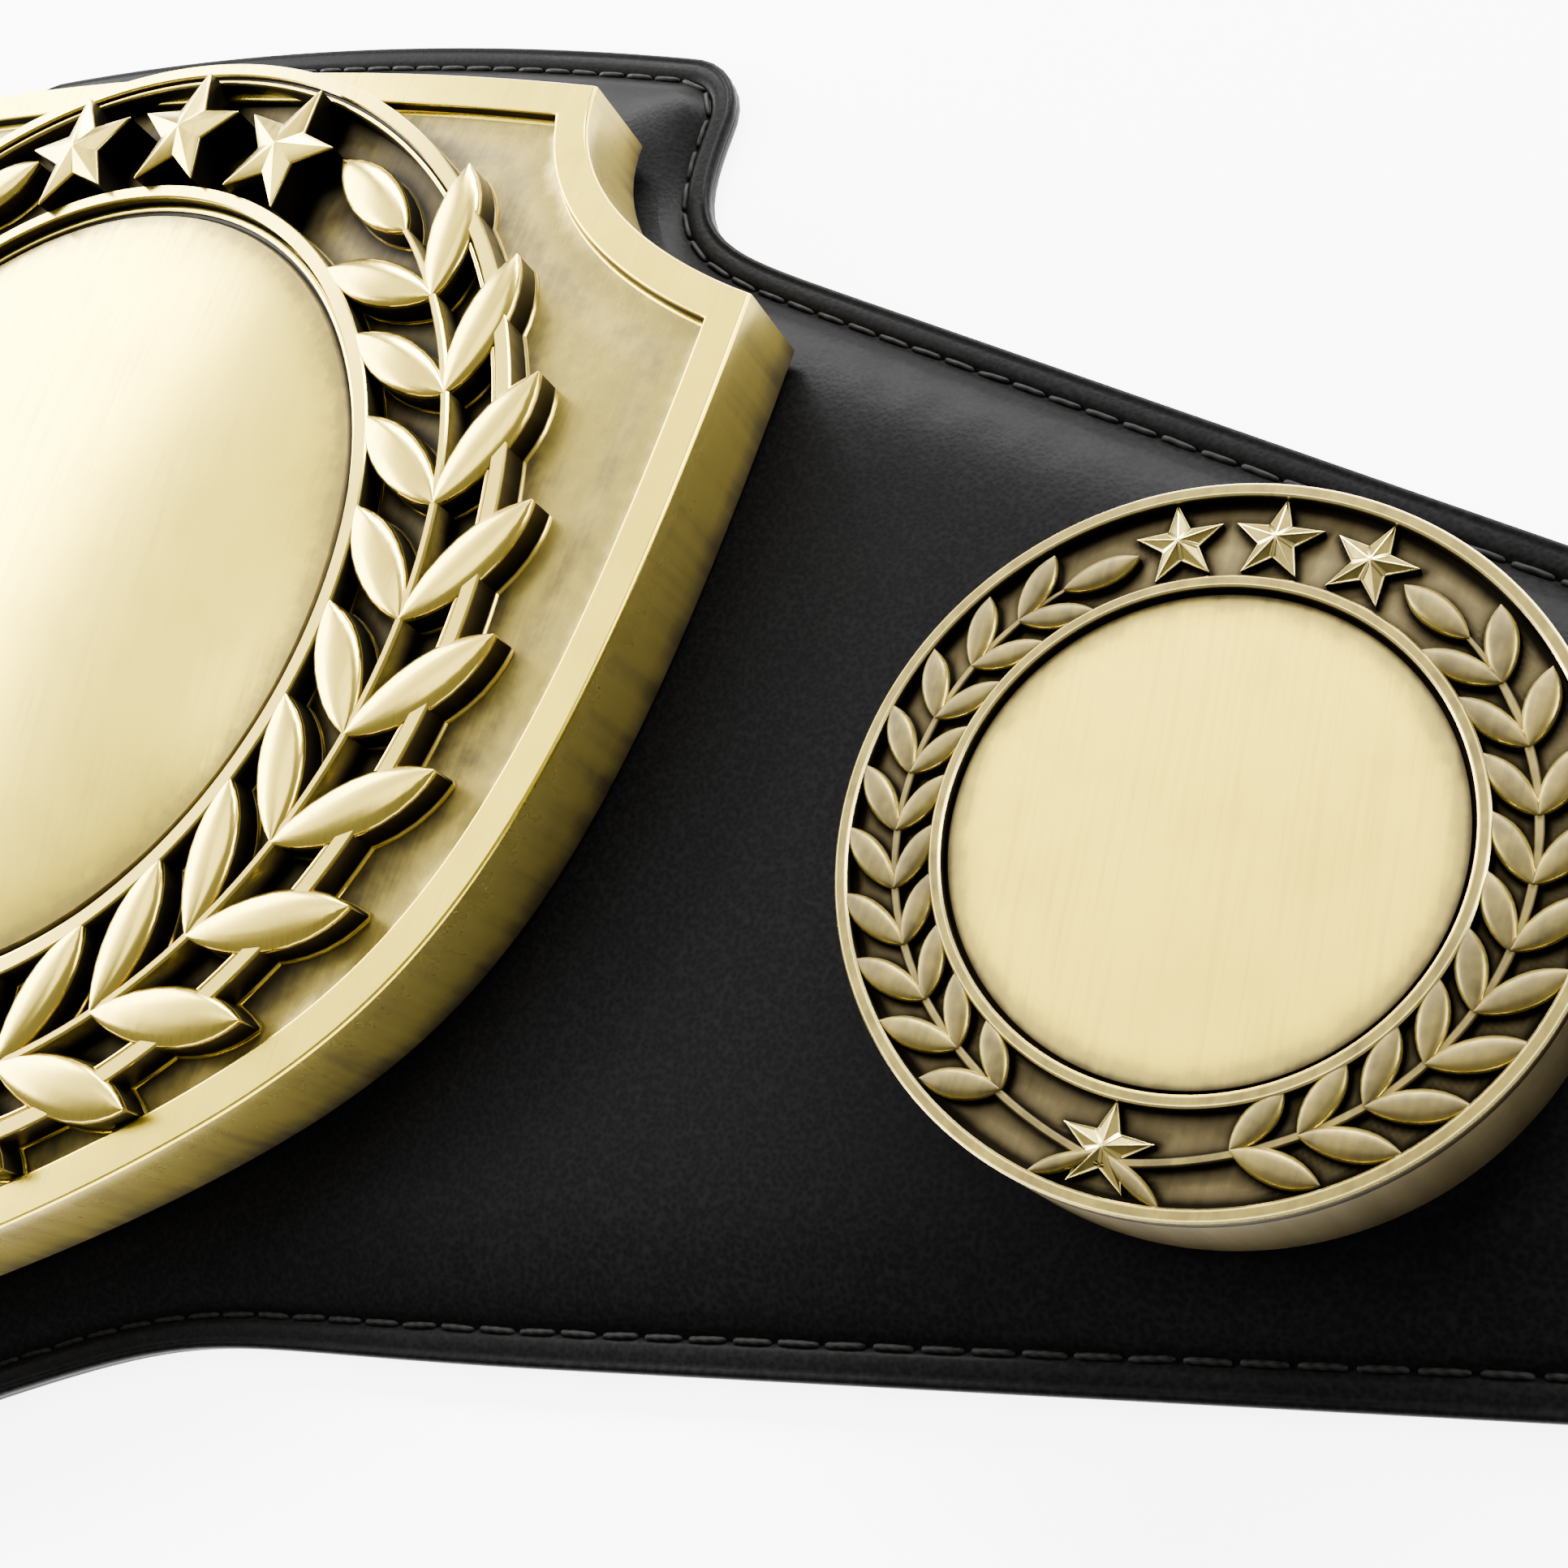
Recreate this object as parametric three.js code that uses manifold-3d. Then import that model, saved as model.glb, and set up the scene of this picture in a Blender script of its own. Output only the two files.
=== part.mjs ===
// A championship title belt lying face up: a padded leather strap with a shield-shaped
// main plate, a raised laurel wreath round a domed centre, and a round medallion each side.
// Millimetres, +X along the belt, +Y towards its upper edge, +Z out of its face.
import * as THREE from 'three';
import * as BufferGeometryUtils from 'three/addons/utils/BufferGeometryUtils.js';
import Module from 'manifold-3d';

const wasm = await Module();
wasm.setup();

// Strap outline: a tab above the shield, a drooping middle, long tapering sides, plain ends.
// The zero of X and Y is the centre of the main wreath until the whole belt is centred.
// A bend is how far, in mm, a curve keeps close to the direction that it leaves a point in.
const strapHalfLength = 620;
const strapRise = 118.4;
const strapArchRadius = 625;
const tabHalfWidth = 89;
const tabCornerRadius = 12.4;
const tabSideLength = 2;
const tabSideBend = 20;
const shoulder = { x: 122, y: 70.2, slope: -0.28, bend: 26.4 };
const strapDrop = 138;
const strapTipRounding = 13;
const hollowStart = { x: 46.7, y: -115.6, slope: 0.62, bend: 35.5 };
const hollowEnd = { x: 135.4, y: -83.4, slope: 0.27, bend: 56 };
const strapAxisY = -9.8;
const endHalfWidth = 34;
const taperSoftening = 36;
const endCornerRadius = 14;
const strapDivisions = 5;

// Strap thickness: a thin sewn edge band round a panel that swells over its padding.
const edgeThickness = 3;
const paddedThickness = 7.3;
const edgeBand = 4.2;
const padSlope = 6.5;

// What is screwed or set on another piece keeps this clearance to it.
const seatGap = 0.3;

// Main plate: a shield with notched upper corners and a raised frame round a sunk field.
const plateThickness = 15;
const plateRise = 97.1;
const plateArchRadius = 661;
const upperCornerX = 78.8;
const lowerCorner = { x: 119.8, y: 57.3 };
const notchDip = 24.7;
const sideTurn = { x: 74, y: -78, degrees: 219, bend: 26 };
const sideBelly = { x: 111, y: -48 };
const sideStraight = 85.3;
const plateDrop = 125.4;
const plateTip = { slope: 0.493, bend: 22.2 };
const plateDivisions = 7;
const frameWidth = 5.9;
const fieldDepth = 1.7;

// Wreaths: an inner ring, an outer rim, two stems with paired leaves, three stars above
// and one below. Heights are measured from the ground that the wreath stands on. leafSwell
// has a row for each widening of a leaf: how far along it, and its width there, as shares.
const mainWreath = {
  ringOuter: 72,
  ringWidth: 2.4,
  rimOuter: 96.5,
  rimWidth: 2.6,
  ringHeight: 4.6,
  stemRadius: 85.3,
  stemWidth: 1.5,
  stemHeight: 4.3,
  leafReach: 102.2,
  leafWidth: 8.6,
  leafHeight: 4.9,
  starCircle: 81.3,
  starRadius: 12,
  starSpacing: 17.6,
  starWall: 6.3,
  starPeak: 1.8,
  tailLength: 14,
  tailWidth: 4.4,
  leafSwell: [[0.26, 0.8], [0.6, 0.96]],
  sides: 60,
};
const medallionWreath = {
  ringOuter: 29.8,
  ringWidth: 1.3,
  rimOuter: 41.2,
  rimWidth: 1.5,
  ringHeight: 2,
  stemRadius: 34.1,
  stemWidth: 0.6,
  stemHeight: 1.5,
  leafReach: 39.9,
  leafWidth: 3.4,
  leafHeight: 1.9,
  starCircle: 34.7,
  starRadius: 5.1,
  starSpacing: 18,
  starWall: 1.1,
  starPeak: 1.1,
  tailLength: 6,
  tailWidth: 1.9,
  leafSwell: [[0.34, 0.94], [0.72, 0.82]],
  sides: 40,
};

// Domed centre of the main plate.
const domeClearance = 0.4;
const domeEdgeHeight = 2.5;
const domeRise = 4.6;
const domeSides = 40;
const domeRings = 4;

// Side medallions and the plain discs let into them.
const medallionX = 201;
const medallionY = -7.3;
const medallionThickness = 17.2;
const discClearance = 0.35;
const discThickness = 0.7;

// Snap fasteners: studs at one end of the strap, caps at the other.
const snapCount = 3;
const snapPitch = 20;
const snapFromEnd = 18;
const flangeRadius = 6.2;
const flangeThickness = 0.9;
const studNeck = { radius: 2, top: 2.3 };
const studHead = { radius: 2.7, widest: 3.2, top: 4.2 };
const capEdgeThickness = 0.5;
const capShoulder = { radius: 4.6, top: 1.5 };
const capTop = 2;
const snapSides = 12;

// One row for each pair of leaves, from the top of a branch down: where the pair leaves the
// stem, in degrees above the belt's long axis, how far round its outer and inner tips lean,
// in degrees, and the outer tip's distance from the centre as a share of leafReach.
const leafPairs = [
  { turn: 38.2, outerLean: 11.8, innerLean: 14.2, reach: 0.97 },
  { turn: 25.6, outerLean: 11.4, innerLean: 13.9, reach: 0.98 },
  { turn: 13.2, outerLean: 10.9, innerLean: 13.4, reach: 0.99 },
  { turn: 1.2, outerLean: 11.1, innerLean: 13.2, reach: 1 },
  { turn: -10.6, outerLean: 11.6, innerLean: 13.0, reach: 1 },
  { turn: -22.3, outerLean: 12.2, innerLean: 13.0, reach: 1.005 },
  { turn: -33.8, outerLean: 12.2, innerLean: 13.3, reach: 1.01 },
  { turn: -45.6, outerLean: 12.4, innerLean: 13.2, reach: 1 },
  { turn: -57.2, outerLean: 12.6, innerLean: 13.0, reach: 0.995 },
  { turn: -68.6, outerLean: 12.0, innerLean: 11.5, reach: 0.985 },
];
const crownLeaf = { turn: 48.6, lean: 15.6 };

// The stems leave their circle here and cross below the lowest star, further out by a share
// of the way to the rim. Each ends in a broad tail, which slants down by tailSlant degrees,
// and starts by a share of its length before the crossing.
const stemSwing = { from: -52, crossing: -90, share: 0.3 };
const stemLap = 3;
const stemSteps = 12;
const tailSlant = 30;
const tailStart = 0.25;

// Shares of a wreath's own sizes: how far a leaf's root stands off the stem's middle, how far
// an inner leaf's tip laps over the ring, its width, and the inner corners of a star.
const rootShare = 1 / 3;
const tipLap = 0.1;
const innerLeafShare = 0.92;
const starWaist = 0.42;

// Points of one outline closer than samePoint are one point, and a cut passes through the face
// that it opens by cutPast.
const samePoint = 0.01;
const cutPast = 1;

const gold = { color: 0xc9b87c, roughness: 0.34, metalness: 1 };
const paleGold = { color: 0xe6d8a4, roughness: 0.3, metalness: 1 };
const blackLeather = { color: 0x1b1b1b, roughness: 0.55, metalness: 0 };
const snapBrass = { color: 0xb9a468, roughness: 0.35, metalness: 1 };

const belt = new THREE.Group();
belt.position.y = (strapDrop - strapRise) / 2;

function point(x, y) {
  return new THREE.Vector2(x, y);
}

function polar(radius, degrees) {
  const angle = THREE.MathUtils.degToRad(degrees);
  return point(radius * Math.cos(angle), radius * Math.sin(angle));
}

// A closed geometry becomes a solid that can be joined and cut, and a solid a geometry.
function solidOf(geometry) {
  const bare = geometry.clone();
  bare.deleteAttribute('normal');
  bare.deleteAttribute('uv');
  const merged = BufferGeometryUtils.mergeVertices(bare);
  return new wasm.Manifold(new wasm.Mesh({
    numProp: 3,
    vertProperties: new Float32Array(merged.attributes.position.array),
    triVerts: new Uint32Array(merged.index.array),
  }));
}

function geometryOf(body) {
  const mesh = body.getMesh();
  const geometry = new THREE.BufferGeometry();
  geometry.setAttribute('position', new THREE.BufferAttribute(mesh.vertProperties, 3));
  geometry.setIndex(new THREE.BufferAttribute(mesh.triVerts, 1));
  geometry.computeVertexNormals();
  return geometry;
}

function joined(bodies) {
  return bodies.reduce((sum, body) => sum.add(body));
}

function prism(outline, bottom, top, holes = []) {
  const shape = new THREE.Shape(outline);
  shape.holes = holes.map((hole) => new THREE.Path(hole));
  const geometry = new THREE.ExtrudeGeometry(shape, { depth: top - bottom, bevelEnabled: false });
  return solidOf(geometry.translate(0, 0, bottom));
}

function addPiece(parent, name, body, look) {
  const mesh = new THREE.Mesh(geometryOf(body), new THREE.MeshStandardMaterial(look));
  mesh.name = name;
  parent.add(mesh);
  return mesh;
}

function circle(radius, sides) {
  return Array.from({ length: sides }, (_, i) => polar(radius, (360 * i) / sides));
}

function mirroredInX(points) {
  return points.map((p) => point(-p.x, p.y)).reverse();
}

// The right half of an outline, from its top middle to its bottom middle, with its mirror.
// Where an arc starts on a line's end, the point is kept once.
function symmetric(path, divisions) {
  const right = path.getPoints(divisions)
    .filter((p, i, all) => i === 0 || p.distanceTo(all[i - 1]) > samePoint);
  return [...right, ...mirroredInX(right.slice(1, -1))].reverse();
}

// An outline moved inwards by the same distance all round, with mitred corners.
function inset(outline, distance) {
  const count = outline.length;
  return outline.map((here, i) => {
    const into = here.clone().sub(outline[(i + count - 1) % count]).normalize();
    const away = outline[(i + 1) % count].clone().sub(here).normalize();
    const normal = point(-into.y, into.x);
    const mitre = normal.clone().add(point(-away.y, away.x)).normalize();
    return here.clone().addScaledVector(mitre, distance / mitre.dot(normal));
  });
}

// Strap.
function strapOutline() {
  const archCentre = strapRise - strapArchRadius;
  const tabCentreX = tabHalfWidth - tabCornerRadius;
  const tabCentreY = archCentre
    + Math.sqrt((strapArchRadius - tabCornerRadius) ** 2 - tabCentreX ** 2);
  const tabSideEnd = tabCentreY - tabSideLength;
  const archEnd = Math.atan2(tabCentreY - archCentre, tabCentreX);
  const upperEnd = strapAxisY + endHalfWidth;
  const lowerEnd = strapAxisY - endHalfWidth;
  const upperMeet = shoulder.x + (upperEnd - shoulder.y) / shoulder.slope;
  const lowerMeet = hollowEnd.x + (lowerEnd - hollowEnd.y) / hollowEnd.slope;
  const tipSlope = (strapDrop + hollowStart.y) / (hollowStart.x - strapTipRounding);
  const cornerX = strapHalfLength - endCornerRadius;
  const path = new THREE.Path();
  path.absarc(0, archCentre, strapArchRadius, Math.PI / 2, archEnd, true);
  path.absarc(tabCentreX, tabCentreY, tabCornerRadius, archEnd, 0, true);
  path.lineTo(tabHalfWidth, tabSideEnd);
  path.bezierCurveTo(tabHalfWidth, tabSideEnd - tabSideBend,
    shoulder.x - shoulder.bend, shoulder.y - shoulder.bend * shoulder.slope,
    shoulder.x, shoulder.y);
  path.lineTo(upperMeet - taperSoftening, upperEnd - taperSoftening * shoulder.slope);
  path.quadraticCurveTo(upperMeet, upperEnd, upperMeet + taperSoftening, upperEnd);
  path.lineTo(cornerX, upperEnd);
  path.absarc(cornerX, upperEnd - endCornerRadius, endCornerRadius, Math.PI / 2, 0, true);
  path.absarc(cornerX, lowerEnd + endCornerRadius, endCornerRadius, 0, -Math.PI / 2, true);
  path.lineTo(lowerMeet + taperSoftening, lowerEnd);
  path.quadraticCurveTo(lowerMeet, lowerEnd,
    lowerMeet - taperSoftening, lowerEnd - taperSoftening * hollowEnd.slope);
  path.lineTo(hollowEnd.x, hollowEnd.y);
  path.bezierCurveTo(
    hollowEnd.x - hollowEnd.bend, hollowEnd.y - hollowEnd.bend * hollowEnd.slope,
    hollowStart.x + hollowStart.bend, hollowStart.y + hollowStart.bend * hollowStart.slope,
    hollowStart.x, hollowStart.y);
  path.lineTo(2 * strapTipRounding, -strapDrop + strapTipRounding * tipSlope);
  path.quadraticCurveTo(strapTipRounding, -strapDrop, 0, -strapDrop);
  return symmetric(path, strapDivisions);
}

function makeStrap() {
  const outline = strapOutline();
  const panel = new THREE.Shape(inset(outline, edgeBand));
  const swelling = paddedThickness - edgeThickness;
  const sunk = edgeThickness / 2;
  const padding = new THREE.ExtrudeGeometry(panel, {
    depth: sunk,
    bevelThickness: swelling,
    bevelSize: padSlope,
    bevelOffset: -padSlope,
    bevelSegments: 2,
  });
  const swollen = solidOf(padding.translate(0, 0, edgeThickness - sunk));
  const reach = 2 * strapHalfLength;
  const above = solidOf(new THREE.BoxGeometry(reach, reach, reach)
    .translate(0, 0, reach / 2 + sunk));
  const body = prism(outline, 0, edgeThickness).add(swollen.intersect(above));
  addPiece(belt, 'strap', body, blackLeather);
}

// Main plate.
function plateOutline() {
  const archCentre = plateRise - plateArchRadius;
  const archEnd = Math.acos(upperCornerX / plateArchRadius);
  const upperY = archCentre + plateArchRadius * Math.sin(archEnd);
  const turn = polar(sideTurn.bend, sideTurn.degrees);
  const path = new THREE.Path();
  path.absarc(0, archCentre, plateArchRadius, Math.PI / 2, archEnd, true);
  path.bezierCurveTo(upperCornerX, upperY - notchDip,
    lowerCorner.x, lowerCorner.y, lowerCorner.x, lowerCorner.y);
  path.bezierCurveTo(lowerCorner.x, lowerCorner.y - sideStraight, sideBelly.x, sideBelly.y,
    sideTurn.x, sideTurn.y);
  path.bezierCurveTo(sideTurn.x + turn.x, sideTurn.y + turn.y,
    plateTip.bend, plateTip.bend * plateTip.slope - plateDrop, 0, -plateDrop);
  return symmetric(path, plateDivisions);
}

const plateBottom = paddedThickness + seatGap;
const plateTop = plateBottom + plateThickness;
const wreathBottom = plateTop - fieldDepth + seatGap;

function makeMainPlate() {
  const outline = plateOutline();
  const field = prism(inset(outline, frameWidth), plateTop - fieldDepth, plateTop + cutPast);
  const body = prism(outline, plateBottom, plateTop).subtract(field);
  addPiece(belt, 'main_plate', body, gold);
}

// Laurel wreath, of the same design on the main plate and on the medallions.
function leafOutline(root, tip, width, swell) {
  const along = tip.clone().sub(root);
  const across = point(-along.y, along.x).normalize();
  const side = (sign) => swell.map(([share, fullness]) => root.clone()
    .addScaledVector(along, share)
    .addScaledVector(across, (sign * fullness * width) / 2));
  return [root, ...side(-1), tip, ...side(1).reverse()];
}

function ribbonOutline(centreline, width) {
  const normals = centreline.map((_, i) => {
    const before = centreline[Math.max(i - 1, 0)];
    const after = centreline[Math.min(i + 1, centreline.length - 1)];
    const along = after.clone().sub(before).normalize();
    return point(-along.y, along.x);
  });
  const side = (sign) => centreline.map((p, i) => p.clone()
    .addScaledVector(normals[i], (sign * width) / 2));
  return [...side(-1), ...side(1).reverse()];
}

function starOutline(centre, radius, turn) {
  return Array.from({ length: 10 }, (_, i) => centre.clone()
    .add(polar(i % 2 ? starWaist * radius : radius, turn + 36 * i)));
}

// A star has upright walls and ten facets that rise to its middle.
function starSolid(centre, turn, wreath, bottom) {
  const outline = starOutline(point(0, 0), wreath.starRadius, turn);
  const wallTop = bottom + wreath.starWall;
  const cap = new THREE.ConeGeometry(1, wreath.starPeak, 10, 1, false, Math.PI / 2)
    .rotateX(Math.PI / 2)
    .translate(0, 0, wallTop + wreath.starPeak / 2);
  const place = cap.attributes.position;
  for (let i = 0; i < place.count; i += 1) {
    const here = point(place.getX(i), place.getY(i));
    if (here.length() > samePoint) {
      const side = Math.round(THREE.MathUtils.radToDeg(here.angle()) / 36) % 10;
      place.setXY(i, outline[side].x, outline[side].y);
    }
  }
  const body = prism(outline, bottom, wallTop).add(solidOf(cap));
  return body.translate([centre.x, centre.y, 0]);
}

function stemPath(wreath) {
  const outward = stemSwing.share * (wreath.rimOuter - wreath.stemRadius);
  return Array.from({ length: stemSteps + 1 }, (_, i) => {
    const turn = THREE.MathUtils.lerp(
      crownLeaf.turn + stemLap, stemSwing.crossing - stemLap, i / stemSteps);
    const swung = THREE.MathUtils.clamp(
      (stemSwing.from - turn) / (stemSwing.from - stemSwing.crossing), 0, 1);
    return polar(wreath.stemRadius + outward * swung * swung, turn);
  });
}

function branchOutlines(wreath) {
  const crown = leafOutline(
    polar(wreath.stemRadius, crownLeaf.turn),
    polar(wreath.stemRadius, crownLeaf.turn + crownLeaf.lean),
    wreath.leafWidth, wreath.leafSwell);
  const leaves = leafPairs.flatMap((pair) => {
    const outerRoot = polar(wreath.stemRadius + rootShare * wreath.stemWidth, pair.turn);
    const innerRoot = polar(wreath.stemRadius - rootShare * wreath.stemWidth, pair.turn);
    const outerTip = polar(pair.reach * wreath.leafReach, pair.turn + pair.outerLean);
    const innerTip = polar(wreath.ringOuter - tipLap * wreath.ringWidth,
      pair.turn + pair.innerLean);
    return [leafOutline(outerRoot, outerTip, wreath.leafWidth, wreath.leafSwell),
      leafOutline(innerRoot, innerTip, innerLeafShare * wreath.leafWidth, wreath.leafSwell)];
  });
  return [crown, ...leaves];
}

function tailOutline(wreath) {
  const stem = stemPath(wreath);
  const crossing = stem[stem.length - 1];
  const end = crossing.clone().sub(polar(wreath.tailLength, tailSlant));
  const start = crossing.clone().add(polar(tailStart * wreath.tailLength, tailSlant));
  return leafOutline(start, end, wreath.tailWidth, wreath.leafSwell);
}

function wreathSolid(wreath, bottom) {
  const band = (outer, width) => prism(circle(outer, wreath.sides), bottom,
    bottom + wreath.ringHeight, [circle(outer - width, wreath.sides)]);
  const rightSide = [
    ...branchOutlines(wreath).map((outline) => ({ outline, height: wreath.leafHeight })),
    { outline: ribbonOutline(stemPath(wreath), wreath.stemWidth), height: wreath.stemHeight },
    { outline: tailOutline(wreath), height: wreath.leafHeight },
  ];
  const branches = rightSide.flatMap(({ outline, height }) => [
    prism(outline, bottom, bottom + height),
    prism(mirroredInX(outline), bottom, bottom + height),
  ]);
  const stars = [90 - wreath.starSpacing, 90, 90 + wreath.starSpacing]
    .map((turn) => starSolid(polar(wreath.starCircle, turn), turn, wreath, bottom));
  const lowStar = starSolid(polar(wreath.starCircle, -90), 90, wreath, bottom);
  return joined([band(wreath.ringOuter, wreath.ringWidth), band(wreath.rimOuter, wreath.rimWidth),
    ...branches, ...stars, lowStar]);
}

// The main wreath's rim and lowest leaves reach over the plate's frame, and are thinner there.
function makeMainWreath() {
  const outline = plateOutline();
  const frame = prism(outline, plateBottom, plateTop + seatGap,
    [inset(outline, frameWidth + seatGap)]);
  addPiece(belt, 'main_wreath', wreathSolid(mainWreath, wreathBottom).subtract(frame), gold);
}

// Domed centre, held inside the inner ring of the main wreath.
function makeDome() {
  const radius = mainWreath.ringOuter - mainWreath.ringWidth - domeClearance;
  const sphere = (radius * radius + domeRise * domeRise) / (2 * domeRise);
  const profile = [point(0, 0), point(radius, 0)];
  for (let i = domeRings; i > 0; i -= 1) {
    const out = (radius * i) / domeRings;
    const rise = Math.sqrt(sphere * sphere - out * out) - (sphere - domeRise);
    profile.push(point(out, domeEdgeHeight + rise));
  }
  profile.push(point(0, domeEdgeHeight + domeRise));
  const dome = new THREE.LatheGeometry(profile, domeSides)
    .rotateX(Math.PI / 2)
    .translate(0, 0, wreathBottom);
  addPiece(belt, 'main_dome', solidOf(dome), paleGold);
}

// Side medallions.
function makeMedallion(side, centreX) {
  const place = new THREE.Group();
  place.position.set(centreX, medallionY, plateBottom);
  belt.add(place);
  const wreath = medallionWreath;
  const ground = medallionThickness - wreath.ringHeight;
  const body = prism(circle(wreath.rimOuter, wreath.sides), 0, ground)
    .add(wreathSolid(wreath, ground));
  addPiece(place, `${side}_medallion`, body, gold);
  const discRadius = wreath.ringOuter - wreath.ringWidth - discClearance;
  const disc = prism(circle(discRadius, wreath.sides), ground + seatGap,
    ground + seatGap + discThickness);
  addPiece(place, `${side}_medallion_disc`, disc, paleGold);
}

// Snap fasteners, in a row across each end of the strap.
function turned(profile) {
  return solidOf(new THREE.LatheGeometry(profile, snapSides).rotateX(Math.PI / 2));
}

function makeSnaps() {
  const stud = turned([
    point(0, 0), point(flangeRadius, 0), point(flangeRadius, flangeThickness),
    point(studNeck.radius, flangeThickness), point(studNeck.radius, studNeck.top),
    point(studHead.radius, studHead.widest), point(studNeck.radius, studHead.top),
    point(0, studHead.top),
  ]);
  const cap = turned([
    point(0, 0), point(flangeRadius, 0), point(flangeRadius, capEdgeThickness),
    point(capShoulder.radius, capShoulder.top), point(0, capTop),
  ]);
  for (let i = 0; i < snapCount; i += 1) {
    const across = strapAxisY + snapPitch * (i - (snapCount - 1) / 2);
    const along = strapHalfLength - snapFromEnd;
    addPiece(belt, `left_snap_stud_${i + 1}`, stud, snapBrass)
      .position.set(-along, across, plateBottom);
    addPiece(belt, `right_snap_cap_${i + 1}`, cap, snapBrass)
      .position.set(along, across, plateBottom);
  }
}

makeStrap();
makeMainPlate();
makeMainWreath();
makeDome();
makeMedallion('left', -medallionX);
makeMedallion('right', medallionX);
makeSnaps();

export default belt;
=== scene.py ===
"""A championship title belt lying face up: black padded leather under cast, antiqued plates."""

import math

import bmesh
import bpy
import numpy as np
from mathutils import Matrix, Vector
from mathutils.geometry import delaunay_2d_cdt


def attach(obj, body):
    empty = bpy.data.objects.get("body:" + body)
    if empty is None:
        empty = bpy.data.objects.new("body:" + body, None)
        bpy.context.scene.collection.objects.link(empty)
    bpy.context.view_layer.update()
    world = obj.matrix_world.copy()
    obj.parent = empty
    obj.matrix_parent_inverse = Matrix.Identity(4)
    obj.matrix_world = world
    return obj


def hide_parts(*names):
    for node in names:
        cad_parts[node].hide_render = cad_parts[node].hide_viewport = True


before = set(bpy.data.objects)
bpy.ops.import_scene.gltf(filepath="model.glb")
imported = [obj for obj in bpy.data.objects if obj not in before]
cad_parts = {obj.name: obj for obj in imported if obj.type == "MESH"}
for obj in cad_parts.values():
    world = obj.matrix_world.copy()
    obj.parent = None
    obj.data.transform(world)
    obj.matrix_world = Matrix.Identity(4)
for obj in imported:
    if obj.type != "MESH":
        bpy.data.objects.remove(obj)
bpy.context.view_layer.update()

# Camera and studio. The belt lies on a pale floor under a soft overhead light, with broad
# bright windows low on its left and behind it, and is seen from above its right side.
MM = 0.001
EYE = (264.5, -54.5, 211.1)
LOOK_RIGHT = (0.8492, 0.3148, -0.4240)
LOOK_UP = (-0.1604, 0.9187, 0.3608)
LENS = 43.64
SENSOR = 36.0
FLOOR_DROP = 0.3
FLOOR_SIZE = 9000

camera_data = bpy.data.cameras.new("camera")
camera_data.lens = LENS
camera_data.sensor_width = SENSOR
camera_data.clip_start = 0.01
camera = bpy.data.objects.new("camera", camera_data)
bpy.context.scene.collection.objects.link(camera)
look_right = Vector(LOOK_RIGHT).normalized()
look_back = look_right.cross(Vector(LOOK_UP)).normalized()
look_up = look_back.cross(look_right)
turned = Matrix((look_right, look_up, look_back)).transposed().to_4x4()
camera.matrix_world = Matrix.Translation(Vector(EYE) * MM) @ turned
bpy.context.scene.camera = camera


class Link:
    """A socket of one finish. Arithmetic on it adds the Math nodes that work it out."""

    def __init__(self, finish, socket):
        self.finish = finish
        self.socket = socket

    def math(self, operation, *values):
        return self.finish.node("Math", {"operation": operation}, dict(enumerate(values)))

    def __add__(self, other):
        return self.math("ADD", self, other)

    def __radd__(self, other):
        return self.math("ADD", other, self)

    def __sub__(self, other):
        return self.math("SUBTRACT", self, other)

    def __rsub__(self, other):
        return self.math("SUBTRACT", other, self)

    def __mul__(self, other):
        return self.math("MULTIPLY", self, other)

    def __rmul__(self, other):
        return self.math("MULTIPLY", other, self)

    def __abs__(self):
        return self.math("ABSOLUTE", self)

    def between(self, low, high):
        """0 below low, 1 above high, and smooth in between."""
        return self.finish.node(
            "MapRange", {"interpolation_type": "SMOOTHSTEP"},
            {"Value": self, "From Min": low, "From Max": high})


class Finish:
    """A node material, built up from one Principled shader."""

    def __init__(self, name, **fixed):
        self.material = bpy.data.materials.new(name)
        self.material.use_nodes = True
        self.tree = self.material.node_tree
        self.shader = self.tree.nodes["Principled BSDF"]
        self.set(**fixed)

    def put(self, socket, value):
        if isinstance(value, Link):
            self.tree.links.new(value.socket, socket)
        elif hasattr(value, "__len__") and socket.type == "RGBA" and len(value) == 3:
            socket.default_value = (*value, 1)
        else:
            socket.default_value = value

    def node(self, kind, settings=None, values=None, output=0):
        made = self.tree.nodes.new("ShaderNode" + kind)
        for key, value in (settings or {}).items():
            setattr(made, key, value)
        for key, value in (values or {}).items():
            self.put(made.inputs[key], value)
        return Link(self, made.outputs[output])

    def mix(self, first, second, share):
        return self.node("Mix", {"data_type": "RGBA"}, {0: share, 6: first, 7: second}, 2)

    def place(self, stretch=(1, 1, 1), turn=0):
        """The place on the belt, drawn out along each axis, and turned by some degrees."""
        return self.node("Mapping", {"vector_type": "TEXTURE"}, {
            "Vector": self.node("TexCoord", output="Object"),
            "Rotation": (0, 0, math.radians(turn)), "Scale": stretch})

    def noise(self, size, detail=2, stretch=(1, 1, 1), turn=0):
        """Cloudy values round 0.5, in blots of about that size in millimetres."""
        return self.node("TexNoise", None, {
            "Vector": self.place(stretch, turn), "Scale": 1 / (size * MM), "Detail": detail})

    def bump(self, height, depth):
        """height's 0 to 1 is a rise of depth millimetres."""
        return self.node("Bump", None, {"Height": height, "Distance": depth * MM, "Strength": 1})

    def set(self, **values):
        for key, value in values.items():
            self.put(self.shader.inputs[key.replace("_", " ")], value)
        return self


def add_object(name, data):
    made = bpy.data.objects.new(name, data)
    bpy.context.scene.collection.objects.link(made)
    return made


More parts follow.
